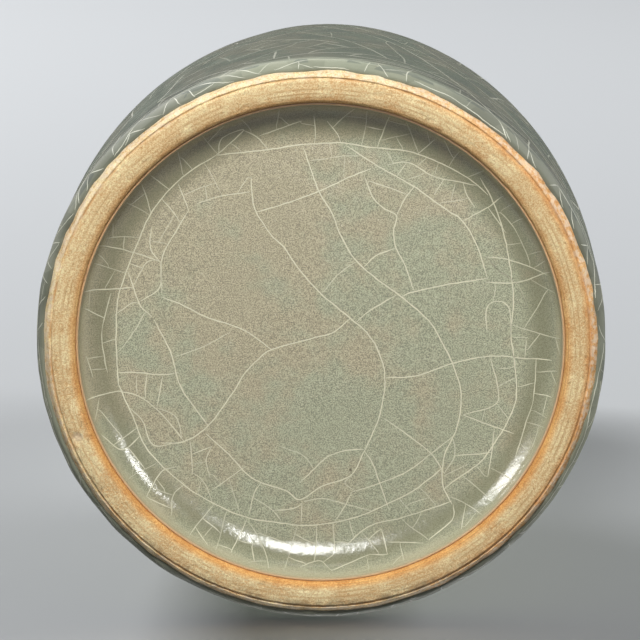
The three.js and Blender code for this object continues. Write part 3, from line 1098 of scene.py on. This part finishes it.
# The outside's crackle, from the foot over the lip into the dish
class WallChart:
    perMm = 5

    def __init__(self):
        skin = moved(face[: marks[flareInside][1] + 1], form["outerCoat"])
        runs = [0]
        for before, here in zip(skin, skin[1:]):
            runs.append(runs[-1] + (here - before).length)
        self.low, self.high = 0.3, runs[-1] - 0.3
        self.table = []
        i = 0
        for part in range(int(runs[-1] * self.perMm) + 1):
            at = part / self.perMm
            while i < len(runs) - 2 and runs[i + 1] < at:
                i += 1
            share = (at - runs[i]) / (runs[i + 1] - runs[i])
            self.table.append(skin[i].lerp(skin[i + 1], share))

    def at(self, run):
        place = min(max(run * self.perMm, 0), len(self.table) - 1.001)
        i = int(place)
        return self.table[i].lerp(self.table[i + 1], place - i)

    def point(self, spot):
        profile = self.at(spot[1])
        return Vector((profile.x * math.cos(spot[0]), profile.x * math.sin(spot[0]), profile.y))

    def stretch(self, spot):
        return 1 / self.at(spot[1]).x, 1

    def inside(self, spot):
        return self.low < spot[1] < self.high


wallCracks = dict(
    step=0.4, width=0.25, swell=0.8, shadeFade=0.8, proud=0.02, deep=0.1, stray=0.008, longest=2.4,
    tries=30000, gapAtFoot=5.0, gapAbove=7.0, fillStrengths=(0.4, 0.5, 0.7, 0.9),
    mainCracks=14, mainFrom=(10, 110), mainLength=150, mainSpread=0.9,
    hoops=(2.0, 4.2, 8.5, 14, 21, 29), hoopParts=11, hoopLength=40, hoopStray=1.2, hoopStrength=0.8,
    risers=84, riserLength=(5, 24), riserStrength=0.75,
)


def makeWallCracks():
    look = wallCracks
    chart = WallChart()
    web = CrackWeb(chart, 5, seed=5)
    dice = random.Random(8)
    for i in range(look["mainCracks"]):
        turn = math.tau * (i + dice.uniform(-0.3, 0.3)) / look["mainCracks"]
        start = (turn, dice.uniform(*look["mainFrom"]))
        for way in (0, math.pi):
            heading = dice.uniform(-look["mainSpread"], look["mainSpread"]) + way
            leaving = None if way == 0 else len(web.lines) - 1
            web.sow(start, heading, leaving, look["mainLength"], dice.gauss(0, 0.004), 6, 1.0)

    # cracks that run round above the foot, and those that rise from its edge
    for level in look["hoops"]:
        for part in range(look["hoopParts"]):
            turn = math.tau * (part + dice.random()) / look["hoopParts"]
            start = (turn, chart.low + level + dice.uniform(-look["hoopStray"], look["hoopStray"]))
            heading = math.pi / 2 + dice.gauss(0, 0.3)
            web.sow(start, heading, None, look["hoopLength"], 0, 8, look["hoopStrength"])
    for i in range(look["risers"]):
        turn = math.tau * (i + dice.uniform(-0.4, 0.4)) / look["risers"]
        longest = dice.uniform(*look["riserLength"])
        heading, bend = dice.gauss(0, 0.65), dice.gauss(0, 0.03)
        web.sow((turn, chart.low + 0.1), heading, None, longest, bend, 6, look["riserStrength"])

    def gapAt(spot):
        return look["gapAtFoot"] + (look["gapAbove"] - look["gapAtFoot"]) * eased(spot[1], 4, 28)

    web.fill(look["tries"], gapAt, look["fillStrengths"])
    lines = [([chart.point(spot) for spot in places], strength)
             for places, strength in web.lines if len(places) > 2]
    print("wall cracks", len(lines))
    return layCracks("wallCracks", outerGlaze, lines, look)


finished(makeWallCracks(), makeCrackLine("wallCrackLine", wallTone, tone(216, 216, 198)))
print("crackle done")


# The clay under the coats. It keeps its solids, and shows only where a coat is lifted.
def makeBodyClay():
    material, shader, place = startMaterial("bodyClay", Roughness=0.8, Specular_IOR_Level=0.3)
    clay = used(clayGrain, place, Pale=tone(226, 206, 168), Deep=tone(196, 160, 116))
    rings = throwingRings(place, 18.0, 2.0, 5.0)
    feed(shader, Base_Color=mixed(rising(rings, 0.4, 1.0) * 0.2, clay["Color"], tone(170, 132, 92)))
    relief(shader, clay["Height"] + rings * 0.2, 0.15)
    return material


bodyClay = makeBodyClay()
for name in ("base_slab", "body_wall", "shoulder", "neck", "dish_mouth"):
    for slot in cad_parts[name].material_slots:
        slot.material = bodyClay

# The stage: the floor that the vase stands on, and for the view of its base a ground beside it
stage = dict(
    floorSize=6.0, floorAt=-0.05, footHole=58.0, fadeStart=1.2, fadeEnd=2.6, floorTone=tone(214, 214, 214),
    groundTone=tone(204, 207, 210), groundAt=52.5, sky=(0.80, 0.81, 0.83, 1.0),
    ceiling=(0.12, 0.13, 0.14, 1.0), skyFade=(0.4, 0.9), ambient=0.17,
    lamps=[
        # name, from where, distance in metres, width, height, level on what faces it
        ("key", (-0.62, -0.62, 0.62), 1.6, 0.9, 0.9, 0.88),
        ("fill", (0.85, -0.35, 0.35), 1.6, 1.0, 1.0, 0.6),
        ("back", (0.25, 0.9, 0.5), 1.6, 1.0, 1.0, 0.5),
    ],
    baseLamps=[
        ("base", (0.0, -0.76, -0.65), 0.6, 0.22, 0.14, 1.2),
        ("baseLeft", (-0.72, -0.52, -0.55), 0.7, 0.2, 0.2, 0.06),
    ],
    glints=[
        # name, the place in the recess that mirrors it, distance, width, height, level
        ("glintLow", (-4.4, 39.4), 0.7, 0.085, 0.17, 0.42),
        ("glintRight", (33.9, 25.8), 0.7, 0.13, 0.42, 0.75),
        ("glintLeft", (-33.5, 24.6), 0.7, 0.08, 0.14, 0.28),
    ],
)


# A stage plane with a pale matt surface that is there only where a mask says so
def makeStagePlane(name, location, rotation, colour, maskOf):
    material = bpy.data.materials.new(name + "Tone")
    material.use_nodes = True
    tree = material.node_tree
    tree.nodes.clear()
    surface = flows(tree, "BsdfDiffuse", {"Color": colour})["BSDF"]
    clear = flows(tree, "BsdfTransparent")["BSDF"]
    shown = maskOf(flows(tree, "LightPath"), flows(tree, "NewGeometry"))
    add(tree, "OutputMaterial", {0: flow("MixShader", {0: shown, 1: clear, 2: surface})})
    plane = addPlane(name, stage["floorSize"], location, rotation)
    plane.data.materials.append(material)


# The floor shows from above. Under the foot it lets the light through that reaches the base.
def floorMask(rays, geometry):
    radius, _, _, _ = placeParts(geometry["Position"])
    beyond = maths("GREATER_THAN", radius, stage["footHole"] * mm)
    stopping = maths("MAXIMUM", rays["Is Glossy Ray"], rays["Is Shadow Ray"]) * beyond
    front = 1.0 - geometry["Backfacing"]
    fade = rising(radius, stage["fadeEnd"], stage["fadeStart"])
    return maths("MAXIMUM", rays["Is Camera Ray"], stopping) * front * fade


# The ground shows only to a camera that looks up through the floor, or from below it
def groundMask(rays, geometry):
    _, height, _, _ = placeParts(geometry["Position"])
    through = maths("GREATER_THAN", rays["Transparent Depth"], 0.5)
    below = maths("LESS_THAN", height, stage["floorAt"] * mm)
    return rays["Is Camera Ray"] * maths("MAXIMUM", through, below)


makeStagePlane("stageFloor", (0, 0, stage["floorAt"] * mm), (0, 0, 0), stage["floorTone"], floorMask)
groundPlace = (0, stage["groundAt"] * mm, 0)
makeStagePlane("stageGround", groundPlace, (math.pi / 2, 0, 0), stage["groundTone"], groundMask)

world = bpy.data.worlds.new("studio")
scene.world = world
world.use_nodes = True
world.cycles.sampling_method = "NONE"
tree = world.node_tree
rays = flows(tree, "LightPath")
seen = maths("MAXIMUM", rays["Is Camera Ray"], rays["Is Glossy Ray"])
seen = maths("MAXIMUM", seen, rays["Is Transmission Ray"])
_, above, _, _ = placeParts(flows(tree, "TexCoord")["Generated"])
sky = mixed(rising(above, *stage["skyFade"]), stage["sky"], stage["ceiling"])
ambient = (stage["ambient"],) * 3 + (1.0,)
feed(tree.nodes["Background"], Color=mixed(seen, ambient, sky))

# The camera looks at the base, a little from the side that lies uppermost
view = dict(tilt=12.4, lean=84.2, distance=0.7, target=(0, -4.95 * mm, 0), lens=216.8)
side = Vector((math.cos(math.radians(view["lean"])), -math.sin(math.radians(view["lean"])), 0))
tilt = math.radians(view["tilt"])
position = (side * math.sin(tilt) + Vector((0, 0, -math.cos(tilt)))) * view["distance"]
camera = bpy.data.objects.new("camera", bpy.data.cameras.new("camera"))
camera.data.lens = view["lens"]
camera.data.sensor_width = 36
camera.data.clip_start = 0.01
forward = (Vector(view["target"]) - position).normalized()
upward = (Vector((0, -1, 0)) - forward * -forward.y).normalized()
right = forward.cross(upward)
camera.matrix_world = Matrix.Translation(position) @ Matrix((right, upward, -forward)).transposed().to_4x4()
scene.collection.objects.link(camera)
scene.camera = camera


# The objects that a lamp lights, when it doesn't light all
def litAlone(name, objects):
    lit = bpy.data.collections.new(name)
    for piece in objects:
        lit.objects.link(piece)
    return lit


# The base's lamps leave out the ground beside the vase, and the glints' lamps all but the recess
receivers = {
    "baseLamps": litAlone("vaseAlone", pieces + list(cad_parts.values())),
    "glints": litAlone("recessAlone", [baseGlaze, baseCracks]),
}


# Each lamp gets the power that gives its level on a surface that faces it
def addLamp(name, location, aim, width, height, level, kind):
    distance = (location - aim).length
    light = bpy.data.lights.new(name, "AREA")
    light.shape = "RECTANGLE"
    light.size, light.size_y = width, height
    light.energy = level * (math.pi * distance) ** 2
    lamp = bpy.data.objects.new(name, light)
    lamp.location = location
    lamp.rotation_euler = (aim - location).to_track_quat("-Z", "Y").to_euler()
    lamp.visible_camera = False
    if kind in receivers:
        lamp.light_linking.receiver_collection = receivers[kind]
    lamp.visible_glossy = kind != "baseLamps"
    lamp.visible_diffuse = kind != "glints"
    scene.collection.objects.link(lamp)


for kind in ("lamps", "baseLamps"):
    for name, direction, distance, width, height, level in stage[kind]:
        addLamp(name, Vector(direction).normalized() * distance, Vector(), width, height, level, kind)

# A glint's lamp stands where the glaze mirrors it to the camera from one place
recessSkin = skinOf(baseGlaze)
for name, place, distance, width, height, level in stage["glints"]:
    spot, normal = metFromBelow(recessSkin, *place)
    mirrored = -(position - spot).normalized().reflect(normal)
    addLamp(name, spot + mirrored * distance, spot, width, height, level, "glints")

scene.view_settings.view_transform = "Standard"
print("stage, lamps and camera set")
